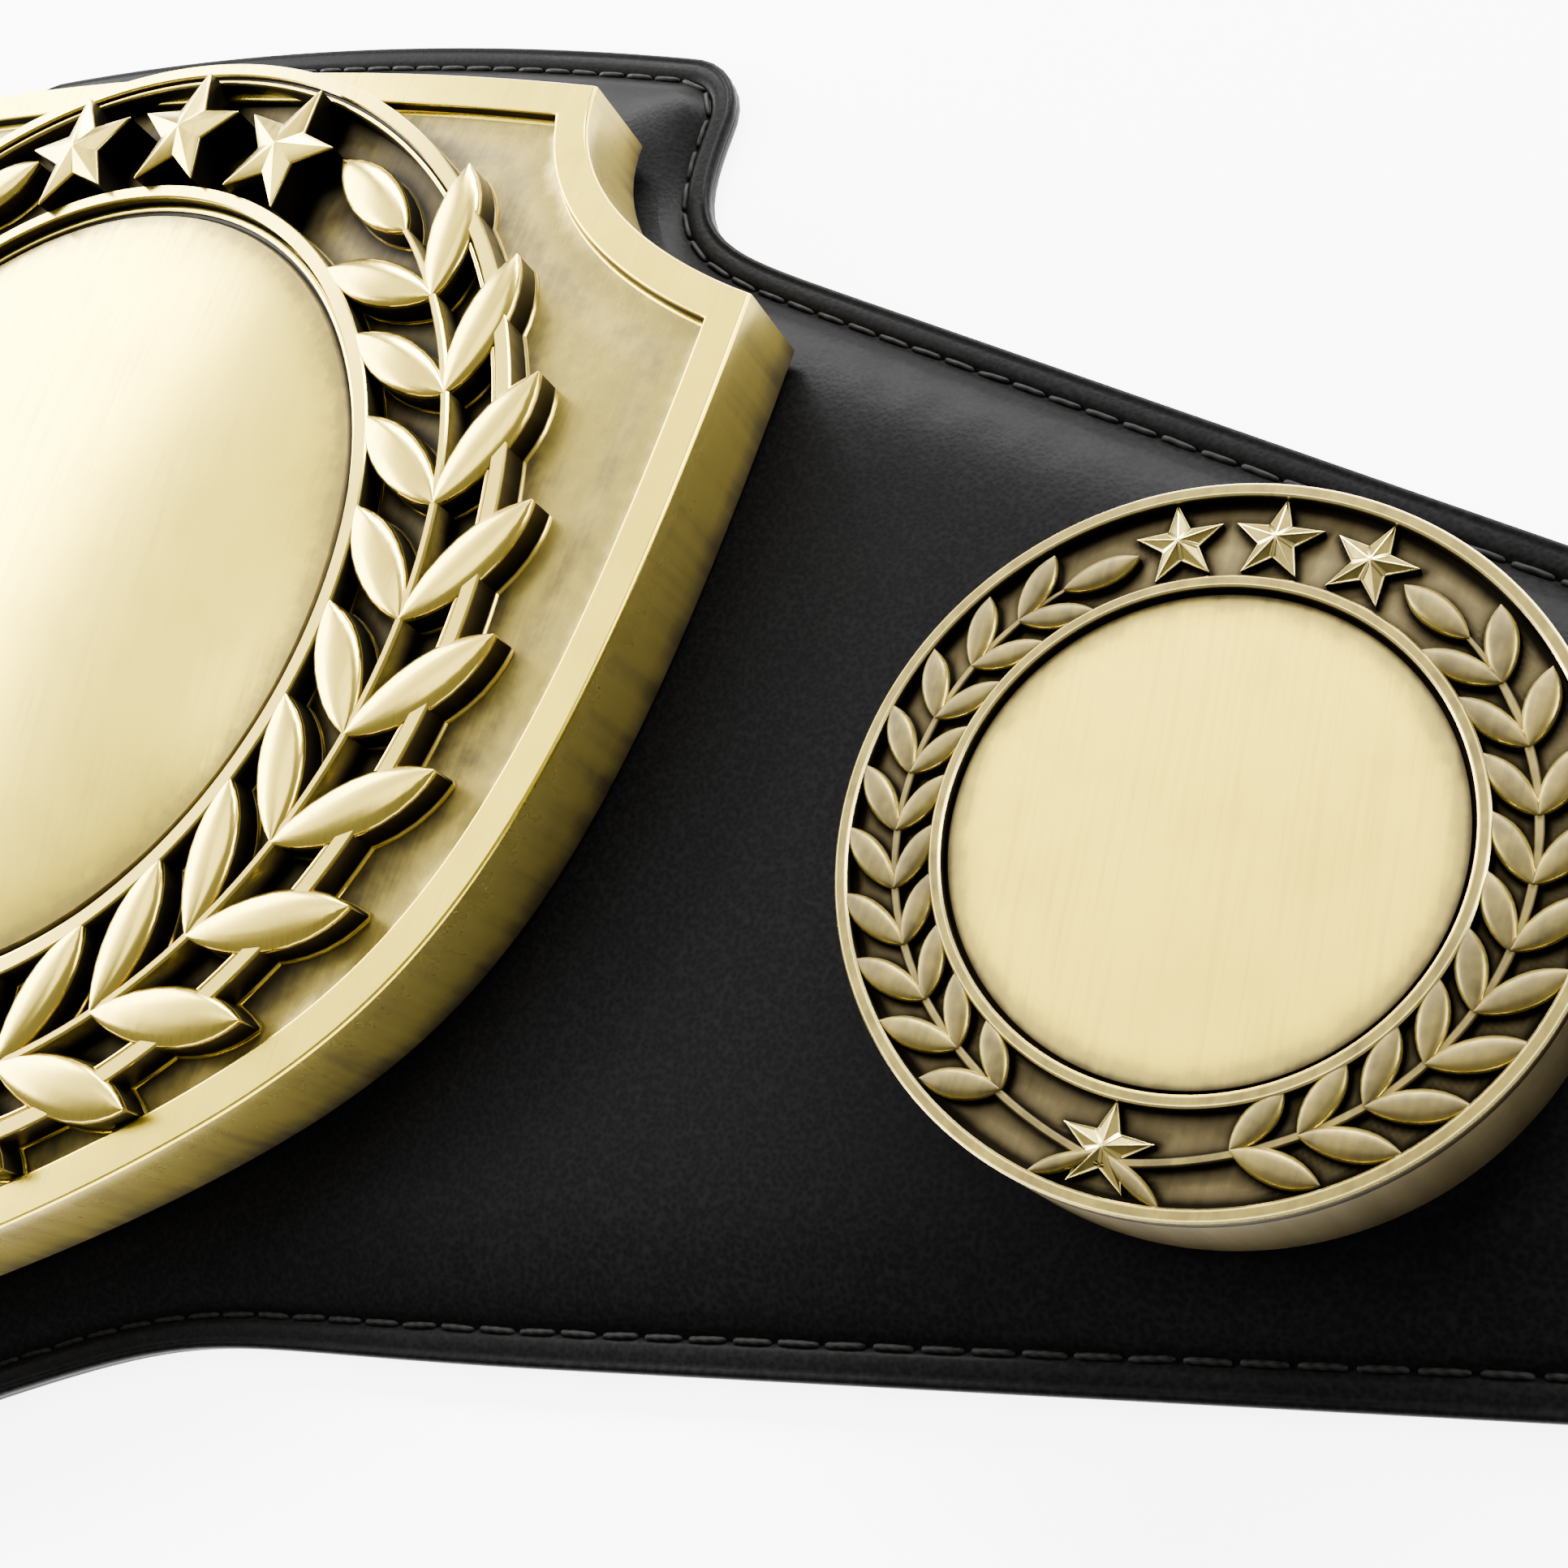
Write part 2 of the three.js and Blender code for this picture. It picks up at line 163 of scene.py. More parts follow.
FLOOR_COLOUR = (0.86, 0.86, 0.86)
FLOOR_PATCH_COLOUR = (0.84, 0.84, 0.84)
FLOOR_PATCH_SIZE = 400
FLOOR_GLOW = 6.0
WORLD_GLOW = 0.36
floor_mesh = bpy.data.meshes.new("floor")
half = FLOOR_SIZE * MM / 2
floor_mesh.from_pydata(
    [(x * half, y * half, -FLOOR_DROP * MM) for x, y in ((-1, -1), (1, -1), (1, 1), (-1, 1))],
    [], [(0, 1, 2, 3)])
floor = add_object("floor", floor_mesh)
floor_finish = Finish("floor_paint", Roughness=0.9, Emission_Strength=FLOOR_GLOW)
floor_finish.set(Base_Color=floor_finish.mix(
    FLOOR_COLOUR, FLOOR_PATCH_COLOUR, floor_finish.noise(FLOOR_PATCH_SIZE)),
    Emission_Color=(1, 1, 1))
floor_mesh.materials.append(floor_finish.material)

# One row for each soft light: the way it lies in from the belt (azimuth from +X towards +Y,
# and elevation), its distance and sides in metres, and its power in watts.
SOFT_LIGHTS = {
    "window": (171, 19, 2.4, 2.2, 1.7, 270),
    "ceiling": (138, 71, 2.4, 1.6, 1.2, 26),
    "haze": (153, 48, 2.4, 2.0, 0.7, 9),
    "behind": (97, 31, 2.4, 2.8, 0.6, 360),
    "side": (25, 16, 2.4, 1.4, 0.7, 60),
}
for name, (azimuth, elevation, away, wide, tall, power) in SOFT_LIGHTS.items():
    data = bpy.data.lights.new(name, "AREA")
    data.shape = "RECTANGLE"
    data.size = wide
    data.size_y = tall
    data.energy = power
    light = add_object(name, data)
    a, e = math.radians(azimuth), math.radians(elevation)
    towards = Vector((math.cos(a) * math.cos(e), math.sin(a) * math.cos(e), math.sin(e)))
    light.location = towards * away
    light.rotation_mode = "QUATERNION"
    light.rotation_quaternion = towards.to_track_quat("Z", "Y")

world = bpy.data.worlds.new("studio")
world.use_nodes = True
world.node_tree.nodes["Background"].inputs["Color"].default_value = (1, 1, 1, 1)
world.node_tree.nodes["Background"].inputs["Strength"].default_value = WORLD_GLOW
bpy.context.scene.world = world

# Leather strap. A top layer over foam is sewn to a backing layer all round; it rises to a tab
# above the shield, droops below it and tapers to plain ends. Sizes are in millimetres from
# the middle of the main wreath, which is WREATH_Y above the middle of the belt.
WREATH_Y = 9.8
STRAP_HALF_LENGTH = 620
STRAP_RISE = 118.4
STRAP_ARCH = 625
TAB_HALF_WIDTH = 89
TAB_CORNER = 12.4
TAB_SIDE = 2
TAB_BEND = 20
SHOULDER = (122, 70.2)
SHOULDER_SLOPE = -0.28
SHOULDER_BEND = 26.4
STRAP_DROP = 138
STRAP_TIP_ROUNDING = 13
HOLLOW_START = (46.7, -115.6)
HOLLOW_START_SLOPE = 0.62
HOLLOW_START_BEND = 35.5
HOLLOW_END = (135.4, -83.4)
HOLLOW_END_SLOPE = 0.27
HOLLOW_END_BEND = 56
STRAP_AXIS = -9.8
END_HALF_WIDTH = 34
TAPER_SOFTENING = 36
END_CORNER = 14

SHARP_TURN = 0.4
EDGE_STEP = 2.6
STITCH_INSET = 4.4
RING_LIMIT = 8.0
PAD_BOTTOM = 2.2
PAD_TOP = 7.25
PAD_RUN = 5.6
# How far in from the outer edge, and how high: the top layer's rolled edge, its flat band and
# the groove that the thread has pulled down.
TOP_EDGE = ((0.35, 1.35), (0.08, 1.5), (0.0, 1.9), (0.03, 2.4), (0.16, 2.78), (0.42, 3.0),
            (0.75, 3.04), (1.02, 2.93), (1.25, 2.86), (1.6, 2.9), (2.4, 2.98), (3.1, 2.96),
            (3.6, 2.82), (3.95, 2.55), (4.4, 2.2), (4.75, 2.42), (5.1, 2.8))
BACK_EDGE = ((0.6, 0.0), (0.3, 0.1), (0.12, 0.35), (0.1, 0.85), (0.25, 1.15), (0.5, 1.22))
PAD_START = (5.6, 6.3, 7.1, RING_LIMIT)
HELD_MARGIN = 0.9
WAVE_LENGTHS = (47, 39)
WAVE_HEIGHT = 0.07
WAVE_START = 12
WAVE_GROWTH = 20
PEBBLE_SIZE = 0.62
GRAIN_DEPTH = 0.035
LEATHER_DARK = (0.0028, 0.0028, 0.0028)
LEATHER_PALE = (0.006, 0.006, 0.0059)


def arc(x, y, radius, start, end, steps):
    turn = np.radians(np.linspace(start, end, steps + 1))
    return np.c_[x + radius * np.cos(turn), y + radius * np.sin(turn)]


def curve(points, steps):
    """A Bezier curve through its first and last point."""
    level = np.array(points, float)[:, None, :]
    t = np.linspace(0, 1, steps + 1)[:, None]
    while len(level) > 1:
        level = level[:-1] * (1 - t) + level[1:] * t
    return level[0]


def whole_outline(right_half):
    """Both halves of a symmetric outline, anticlockwise, from its upper half's points."""
    points = np.vstack(right_half)
    apart = np.linalg.norm(np.diff(points, axis=0), axis=1) > 0.01
    points = points[np.r_[True, apart]]
    mirrored = points[1:-1][::-1] * (-1, 1)
    return np.vstack([points, mirrored])[::-1]


def evenly(outline, step):
    """The same closed line with its points a step apart."""
    closed = np.vstack([outline, outline[:1]])
    run = np.r_[0, np.cumsum(np.linalg.norm(np.diff(closed, axis=0), axis=1))]
    at = np.linspace(0, run[-1], round(run[-1] / step) + 1)[:-1]
    return np.c_[np.interp(at, run, closed[:, 0]), np.interp(at, run, closed[:, 1])]


def moved_in(outline, distance):
    """The outline moved inwards all round, with mitred corners."""
    into = outline - np.roll(outline, 1, axis=0)
    away = np.roll(into, -1, axis=0)
    into = into / np.linalg.norm(into, axis=1)[:, None]
    away = away / np.linalg.norm(away, axis=1)[:, None]
    normal = np.c_[-into[:, 1], into[:, 0]]
    mitre = normal + np.c_[-away[:, 1], away[:, 0]]
    mitre = mitre / np.linalg.norm(mitre, axis=1)[:, None]
    share = np.sum(mitre * normal, axis=1)[:, None]
    moved = outline + mitre * distance / share
    turns = into[:, 0] * away[:, 1] - into[:, 1] * away[:, 0]
    for corner in np.flatnonzero(turns > SHARP_TURN):
        for step, edge in ((1, away[corner]), (-1, -into[corner])):
            k = corner + step
            while np.dot(moved[k % len(moved)] - moved[corner], edge) < 0:
                moved[k % len(moved)] = moved[corner]
                k += step
    return moved


def level(outline, height):
    return np.c_[outline, np.full(len(outline), float(height))]


class Shell:
    """The closed surfaces of one piece, in millimetres from the middle of the main wreath.
    A point's tone is how much dark toning and painted shade lies there, from 0, rubbed bright,
    to 1, and feet are the outlines of the forms raised on it."""

    def __init__(self):
        self.points = []
        self.faces = []
        self.tones = []
        self.feet = []

    def add(self, points, faces, tones=0.0):
        first = len(self.points)
        self.points += [tuple(p) for p in points]
        self.faces += [tuple(first + i for i in face) for face in faces]
        self.tones += np.broadcast_to(tones, len(points)).tolist()

    def loft(self, loops, ring=False, last=True, tones=0.0):
        """Joins closed loops of as many points each, and closes the first and the last.
        tones has a number, or a row of numbers, for each loop."""
        size, count = len(loops[0]), len(loops)
        faces = []
        for k in range(count if ring else count - 1):
            here, there = k * size, (k + 1) % count * size
            faces += [(here + i, here + (i + 1) % size, there + (i + 1) % size, there + i)
                      for i in range(size)]
        if not ring:
            faces.append(tuple(range(size))[::-1])
        if last and not ring:
            faces.append(tuple(range((count - 1) * size, count * size)))
        each = np.broadcast_to(np.array(tones, float).T, (size, count)).T
        self.add(np.vstack(loops), faces, each.ravel())


def make_piece(name, shell, finish, sharp=32):
    """One object of the belt, in its place in the frame."""
    mesh = bpy.data.meshes.new(name)
    points = (np.array(shell.points) + (0, WREATH_Y, 0)) * MM
    mesh.from_pydata(points.tolist(), [], shell.faces)
    # Each point's tone goes on as an attribute: dark toning together with painted shade.
    toning_and_shade = mesh.attributes.new("toning_and_shade", "FLOAT", "POINT")
    toning_and_shade.data.foreach_set("value", np.array(shell.tones, np.float32))
    made = bmesh.new()
    made.from_mesh(mesh)
    bmesh.ops.remove_doubles(made, verts=made.verts, dist=1e-6)
    bmesh.ops.recalc_face_normals(made, faces=made.faces)
    made.to_mesh(mesh)
    made.free()
    mesh.shade_smooth()
    mesh.set_sharp_from_angle(angle=math.radians(sharp))
    mesh.materials.append(finish.material)
    piece = add_object(name, mesh)
    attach(piece, "root")
    return piece


def strap_outline():
    arch = STRAP_RISE - STRAP_ARCH
    tab_x = TAB_HALF_WIDTH - TAB_CORNER
    tab_y = arch + math.sqrt((STRAP_ARCH - TAB_CORNER) ** 2 - tab_x ** 2)
    side_end = tab_y - TAB_SIDE
    arch_end = math.degrees(math.atan2(tab_y - arch, tab_x))
    upper, lower = STRAP_AXIS + END_HALF_WIDTH, STRAP_AXIS - END_HALF_WIDTH
    upper_meet = SHOULDER[0] + (upper - SHOULDER[1]) / SHOULDER_SLOPE
    lower_meet = HOLLOW_END[0] + (lower - HOLLOW_END[1]) / HOLLOW_END_SLOPE
    tip_slope = (STRAP_DROP + HOLLOW_START[1]) / (HOLLOW_START[0] - STRAP_TIP_ROUNDING)
    corner_x = STRAP_HALF_LENGTH - END_CORNER
    return evenly(whole_outline([
        arc(0, arch, STRAP_ARCH, 90, arch_end, 60),
        arc(tab_x, tab_y, TAB_CORNER, arch_end, 0, 40),
        curve([(TAB_HALF_WIDTH, side_end), (TAB_HALF_WIDTH, side_end - TAB_BEND),
               (SHOULDER[0] - SHOULDER_BEND, SHOULDER[1] - SHOULDER_BEND * SHOULDER_SLOPE),
               SHOULDER], 60),
        curve([(upper_meet - TAPER_SOFTENING, upper - TAPER_SOFTENING * SHOULDER_SLOPE),
               (upper_meet, upper), (upper_meet + TAPER_SOFTENING, upper)], 30),
        arc(corner_x, upper - END_CORNER, END_CORNER, 90, 0, 30),
        arc(corner_x, lower + END_CORNER, END_CORNER, 0, -90, 30),
        curve([(lower_meet + TAPER_SOFTENING, lower), (lower_meet, lower),
               (lower_meet - TAPER_SOFTENING, lower - TAPER_SOFTENING * HOLLOW_END_SLOPE)], 30),
        curve([HOLLOW_END, (HOLLOW_END[0] - HOLLOW_END_BEND,
                            HOLLOW_END[1] - HOLLOW_END_BEND * HOLLOW_END_SLOPE),
               (HOLLOW_START[0] + HOLLOW_START_BEND,
                HOLLOW_START[1] + HOLLOW_START_BEND * HOLLOW_START_SLOPE), HOLLOW_START], 60),
        curve([(2 * STRAP_TIP_ROUNDING, -STRAP_DROP + STRAP_TIP_ROUNDING * tip_slope),
               (STRAP_TIP_ROUNDING, -STRAP_DROP), (0, -STRAP_DROP)], 20),
    ]), EDGE_STEP)


def distance_in(points, outline):
    """How far each point lies from the nearest stretch of the outline."""
    start, end = outline, np.roll(outline, -1, axis=0)
    along = end - start
    nearest = np.full(len(points), 1e9)
    for first in range(0, len(points), 1500):
        some = points[first:first + 1500, None, :]
        share = np.sum((some - start) * along, axis=2) / np.sum(along * along, axis=1)
        gap = some - start - np.clip(share, 0, 1)[..., None] * along
        nearest[first:first + 1500] = np.sqrt(np.sum(gap * gap, axis=2).min(axis=1))
    return nearest


def pad_height(inward):
    return PAD_TOP - (PAD_TOP - PAD_BOTTOM) * np.exp(-(inward - STITCH_INSET) / PAD_RUN)


def inside_points(outline, spacing, nearest, farthest):
    """A honeycomb of points within the outline, between two distances from it."""
    low, high = outline.min(0), outline.max(0)
    x, y = np.meshgrid(np.arange(low[0], high[0], spacing),
                       np.arange(low[1], high[1], spacing * 0.866))
    x[1::2] += spacing / 2
    grid = np.c_[x.ravel(), y.ravel()]
    ends = np.roll(outline, -1, axis=0)
    within = np.zeros(len(grid), bool)
    for (x0, y0), (x1, y1) in zip(outline, ends):
        crosses = (grid[:, 1] < y0) != (grid[:, 1] < y1)
        if crosses.any():
            at = x0 + (grid[:, 1] - y0) * (x1 - x0) / (y1 - y0 if y1 != y0 else 1)
            within ^= crosses & (grid[:, 0] < at)
    grid = grid[within]
    inward = distance_in(grid, outline)
    keep = (inward > nearest) & (inward <= farthest)
    return grid[keep]


def add_face_within(shell, outline, rim, height, bands, passes=4, tone=None):
    """Fills a level line, rim, with a soft surface whose height follows the distance from the
    outline. bands are the honeycomb's spacing, and from and to which distance it holds."""
    size = len(rim)
    flat = np.vstack([rim] + [inside_points(outline, *band) for band in bands])
    cut = delaunay_2d_cdt([Vector(p) for p in flat],
                          [(i, (i + 1) % size) for i in range(size)], [], 1, 1e-5)
    points = np.array([tuple(p) for p in cut[0]])
    inward = distance_in(points, outline)
    heights = height(inward, points)
    sides = np.array([(face[i - 1], face[i]) for face in cut[2] for i in range(3)])
    loose = inward > bands[0][1] - HELD_MARGIN
    count = np.bincount(sides.ravel(), minlength=len(points))
    for _ in range(passes):
        total = np.bincount(sides[:, 0], heights[sides[:, 1]], len(points))
        total += np.bincount(sides[:, 1], heights[sides[:, 0]], len(points))
        heights[loose] = 0.5 * heights[loose] + 0.5 * (total / count)[loose]
    shell.add(np.c_[points, heights], cut[2], 0.0 if tone is None else tone(inward, points))


outline = strap_outline()
strap = Shell()
edge_loops = [level(moved_in(outline, inward), height) for inward, height in TOP_EDGE]
for inward in PAD_START:
    edge_loops.append(level(moved_in(outline, inward), pad_height(inward)))
strap.loft(edge_loops, last=False)


def panel_height(inward, points):
    """The padded panel, with the slight waves that leather keeps over foam."""
    x, y = points[:, 0] / WAVE_LENGTHS[0], points[:, 1] / WAVE_LENGTHS[1]
    waves = np.sin(x + 0.7 * np.sin(y)) * np.cos(1.3 * y + 0.5 * x)
    share = np.clip((inward - WAVE_START) / WAVE_GROWTH, 0, 1)
    return pad_height(inward) + WAVE_HEIGHT * waves * share


add_face_within(strap, outline, edge_loops[-1][:, :2], panel_height,
                ((3.0, RING_LIMIT + 1.6, 27), (6.0, 27, 1e3)))

leather = Finish("black_leather", Specular_IOR_Level=0.022)
pebbles = leather.node("TexVoronoi", {"feature": "SMOOTH_F1"}, {
    "Vector": leather.place(), "Scale": 1 / (PEBBLE_SIZE * MM), "Randomness": 1.0})
fine = leather.noise(0.35, 1)
creases = leather.noise(5, 3)
swell = leather.noise(60, 1)
grain = pebbles * 0.75 + fine * 0.25
leather.set(
    Base_Color=leather.mix(LEATHER_DARK, LEATHER_PALE, grain.between(0.2, 0.8)),
    Roughness=0.32 + 0.1 * creases + 0.05 * swell,
    Normal=leather.bump(grain + 0.5 * creases, GRAIN_DEPTH))

strap_top = make_piece("strap_leather", strap, leather, 50)
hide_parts("strap")

backing = Shell()
backing.loft([level(moved_in(outline, inward), height) for inward, height in BACK_EDGE])
backing_leather = Finish("backing_leather", Specular_IOR_Level=0.3)
nap = backing_leather.noise(0.5, 4)
backing_leather.set(
    Base_Color=backing_leather.mix((0.008, 0.008, 0.008), (0.02, 0.019, 0.018), nap),
    Roughness=0.6 + 0.2 * nap,
    Normal=backing_leather.bump(nap, 0.05))
make_piece("strap_backing", backing, backing_leather, 40)

# Stitching. Waxed black thread, lockstitched round the whole edge through both layers, lies in
# the groove that it has pulled into the leather.
STITCH_PITCH = 6.0
STITCH_LENGTH = 5.3
THREAD_RADIUS = 0.42
STITCH_HEIGHT = 2.62
STITCH_LEAN = 0.025
STITCH_UNEVENNESS = 0.02
PLY_WIDTH = 3.2
# Along the stitch, as a share of half of it: thickness as a share, and sag in millimetres.
STITCH_FORM = ((-1.0, 0.25, 0.32), (-0.94, 0.72, 0.2), (-0.8, 0.95, 0.08), (-0.4, 1.0, 0.0),
               (0.0, 1.04, 0.0), (0.4, 1.0, 0.0), (0.8, 0.95, 0.08), (0.94, 0.72, 0.2),
               (1.0, 0.25, 0.32))
chance = np.random.default_rng(7)
seam = moved_in(outline, STITCH_INSET)
seam_closed = np.vstack([seam, seam[:1]])
seam_run = np.r_[0, np.cumsum(np.linalg.norm(np.diff(seam_closed, axis=0), axis=1))]
stitch_count = round(seam_run[-1] / STITCH_PITCH)
around = np.radians(np.arange(0, 360, 45))
stitches = Shell()
for i in range(stitch_count):
    middle = (i + 0.5) * seam_run[-1] / stitch_count
    lean = chance.normal(0, STITCH_LEAN)
    long = STITCH_LENGTH * (1 + chance.normal(0, STITCH_UNEVENNESS))
    at = middle + np.array([-1, 1]) * long * 0.5
    ends = np.c_[np.interp(at, seam_run, seam_closed[:, 0]),
                 np.interp(at, seam_run, seam_closed[:, 1])]
    along = (ends[1] - ends[0]) / np.linalg.norm(ends[1] - ends[0])
    across = np.array([-along[1], along[0]])
    along = along + lean * across
    centre = ends.mean(axis=0)
    loops = []
    for share, thick, sag in STITCH_FORM:
        spot = centre + along * share * long / 2
        radius = THREAD_RADIUS * thick
        loops.append(np.c_[spot[0] + across[0] * radius * np.cos(around),
                           spot[1] + across[1] * radius * np.cos(around),
                           STITCH_HEIGHT - sag + radius * np.sin(around)])
    stitches.loft(loops)
thread = Finish("waxed_thread", Specular_IOR_Level=0.1)
ply = thread.node("TexWave", {"bands_direction": "DIAGONAL"}, {
    "Vector": thread.place(), "Scale": 1 / (PLY_WIDTH * MM), "Distortion": 1.5})
thread.set(Base_Color=thread.mix((0.003, 0.003, 0.003), (0.009, 0.009, 0.008), ply),
           Roughness=0.55 + 0.2 * ply, Normal=thread.bump(ply, 0.06))
make_piece("strap_stitching", stitches, thread, 60)

# Main plate. A cast shield with notched upper corners, a flat polished frame and a sunk,
# slightly dished field; its upright walls are brushed and toned dark, with painted shade
# making them darkest at their foot and down the frame's inner step.
PLATE_RISE = 97.1
PLATE_ARCH = 661
UPPER_CORNER_X = 78.8
LOWER_CORNER = (119.8, 57.3)
NOTCH_DIP = 24.7
SIDE_STRAIGHT = 85.3
SIDE_BELLY = (111, -48)
SIDE_TURN = (74, -78)
SIDE_TURN_ANGLE = 219
SIDE_TURN_BEND = 26
PLATE_DROP = 125.4
PLATE_TIP_SLOPE = 0.493
PLATE_TIP_BEND = 22.2
# From the back over the frame to the field: how far in from the outline, how high, and tone.
# The walls' tone, darkest at their foot and on the frame's inner step, is toning and painted
# shade.
PLATE_PROFILE = ((0.7, 7.6, 1.0), (0.2, 7.75, 0.9), (0.0, 8.1, 0.7), (0.0, 12.0, 0.5),
                 (0.0, 19.0, 0.45), (0.0, 21.9, 0.4), (0.04, 22.1, 0.0), (0.14, 22.4, 0.0),
                 (0.36, 22.6, 0.0), (0.6, 22.6, 0.0), (5.3, 22.6, 0.0), (5.5, 22.6, 0.0),
                 (5.7, 22.5, 0.0), (5.8, 22.35, 0.0),
                 (5.84, 22.2, 0.9), (5.92, 20.95, 1.0), (5.94, 20.9, 0.1), (6.15, 20.6, 0.0),
                 (6.4, 20.48, 0.0), (6.5, 20.45, 0.45))
FIELD_LOW = 20.45
FIELD_HIGH = 20.9
FIELD_RUN = (2.5, 11)
FIELD_TONE = 0.38
# Painted shade on the field: a band along the frame and a ring round the foot of the wreath's rim.
DISH_SHADE = 0.17
DISH_MIDDLE = 4
RIM_FOOT_SHADE = 0.3
RIM_FOOT_RADIUS = 97
TONE_FADE = 3
# The dull, brown and black colours that the tone darkens towards, for toning and painted shade
# alike.
TONED_GOLD = (0.31, 0.24, 0.05)
TONED_AND_SHADED_BROWN = (0.088, 0.069, 0.031)
TONED_AND_SHADED_BLACK = (0.006, 0.0045, 0.0024)
PALE_GOLD = (0.88, 0.67, 0.06)


def plate_outline():
    arch = PLATE_RISE - PLATE_ARCH
    arch_end = math.degrees(math.acos(UPPER_CORNER_X / PLATE_ARCH))
    upper_y = arch + PLATE_ARCH * math.sin(math.radians(arch_end))
    turn = np.array([math.cos(math.radians(SIDE_TURN_ANGLE)),
                     math.sin(math.radians(SIDE_TURN_ANGLE))]) * SIDE_TURN_BEND
    return whole_outline([
        arc(0, arch, PLATE_ARCH, 90, arch_end, 40),
        curve([(UPPER_CORNER_X, upper_y), (UPPER_CORNER_X, upper_y - NOTCH_DIP),
               LOWER_CORNER, LOWER_CORNER], 36),
        curve([LOWER_CORNER, (LOWER_CORNER[0], LOWER_CORNER[1] - SIDE_STRAIGHT),
               SIDE_BELLY, SIDE_TURN], 60),
        curve([SIDE_TURN, SIDE_TURN + turn,
               (PLATE_TIP_BEND, PLATE_TIP_BEND * PLATE_TIP_SLOPE - PLATE_DROP),
               (0, -PLATE_DROP)], 44),
    ])


def gold(name, bright, gloss, brush_turn=0, brush_depth=0.004):
    """Cast brass: faces brushed across the belt and rubbed bright, recesses toned dark and
    duller, with painted shade darkening the colour the same way. Its scratches lie on the bright
    faces alone."""
    made = Finish(name, Specular_IOR_Level=0.15)
    # left is the per-point tone: toning and painted shade.
    left = made.node("Attribute", {"attribute_name": "toning_and_shade"}, output="Fac")
    streaks = made.noise(0.7, 3, (1, 30, 6), brush_turn)
    bands = made.noise(2.2, 3, (1, 1, 20))
    clouds = made.noise(11, 3)
    thin = abs(made.noise(17, 1, (1, 9, 1), 38) - 0.5)
    thin = thin.math("MINIMUM", thin, abs(made.noise(14, 1, (1, 11, 1), -52) - 0.5))
    scratches = (1 - thin.between(0.0, 0.0016)) * clouds.between(0.54, 0.62)
    scratches = scratches * (1 - left.between(0.0, 0.3))
    uneven = 0.25 * (clouds - 0.5) + 0.3 * (bands - 0.5) + 0.15 * (streaks - 0.5)
    toned_and_shaded = left + uneven * left.between(0.0, 0.3) * (1 - 0.7 * left.between(0.6, 0.8))
    rubbed = made.mix(bright, tuple(c * 0.7 for c in bright),
                      0.35 * clouds.between(0.45, 0.75) + 0.5 * streaks.between(0.45, 0.75))
    dull = made.mix(rubbed, TONED_GOLD, toned_and_shaded.between(0.0, 0.4))
    brown = made.mix(dull, TONED_AND_SHADED_BROWN, toned_and_shaded.between(0.35, 0.75))
    worn = toned_and_shaded.between(0.1, 0.5) * (1 - toned_and_shaded.between(0.6, 0.9))
    made.set(
        Base_Color=made.mix(brown, TONED_AND_SHADED_BLACK, toned_and_shaded.between(0.65, 1.0)),
        Metallic=1 - 0.3 * worn,
        Roughness=gloss + 0.12 * (streaks - 0.5) + 0.3 * left.between(0.4, 0.75),
        Normal=made.bump(streaks - 0.4 * scratches, brush_depth))
    return made


plate = Shell()
shield = plate_outline()
plate_loops = [level(moved_in(shield, inward), height) for inward, height, _ in PLATE_PROFILE]
plate.loft(plate_loops, last=False, tones=[tone for _, _, tone in PLATE_PROFILE])


def field_height(inward, points):
    run = np.clip((inward - PLATE_PROFILE[-1][0] - FIELD_RUN[0]) / FIELD_RUN[1], 0, 1)
    return FIELD_LOW + (FIELD_HIGH - FIELD_LOW) * run * run * (3 - 2 * run)


def field_tone(inward, points):
    """Painted shade beside the frame and round the foot of the wreath's rim, over the field's even
    tone.
    """
    from_rim = np.abs(np.hypot(points[:, 0], points[:, 1]) - RIM_FOOT_RADIUS)
    dish = (inward - PLATE_PROFILE[-1][0] - FIELD_RUN[0] - DISH_MIDDLE) / TONE_FADE
    return (FIELD_TONE + DISH_SHADE * np.exp(-dish * dish)
            + RIM_FOOT_SHADE * np.exp(-from_rim / TONE_FADE))


add_face_within(plate, shield, plate_loops[-1][:, :2], field_height,
                ((2.0, PLATE_PROFILE[-1][0] + 1.4, 40), (6.0, 40, 1e3)), 2, field_tone)
plate_gold = gold("plate_gold", PALE_GOLD, 0.26, 0, 0.003)
main_plate = make_piece("shield_plate", plate, plate_gold, 30)
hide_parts("main_plate")

# Main wreath. One casting screwed to the shield: a ring and a stepped rim joined by two
# laurel branches with pillowed leaves and upright walls, three stars above and one below.
WREATH = {
    "ground": 20.9, "ring_outer": 72, "ring_width": 2.4, "rim_outer": 96.5, "rim_width": 2.4,
    "ring_top": 25.8, "stem_radius": 85.3, "stem_width": 1.5, "stem_top": 25.7,
    "leaf_reach": 102.2, "leaf_width": 8.6, "leaf_edge": 25.3, "leaf_rise": 1.15,
    "star_circle": 81.3, "star_radius": 11.7, "star_spacing": 17.6, "star_wall": 27.9,
    "star_peak": 29.3, "tail_length": 14, "tail_width": 4.4, "chamfer": 0.22,
    "star_soft": 0.16, "facet_dip": 0.0, "foot": 0.35, "foot_tone": 0.0, "edge_tone": 0.1,
    "stem_tone": 0.0, "crown_tone": 0.0, "band_tone": 0.0, "facet_tone": 0.0,
    "ledge": ((0, 24.8, 1.0), (0.3, 24.7, 1.0), (0.45, 25.05, 0.1), (0.6, 25.15, 0.0),
              (0.95, 25.15, 0.0), (1.1, 25.05, 0.1), (1.3, 24.6, 0.9), (1.3, 21.0, 1.0)),
    "sides": 220,
}
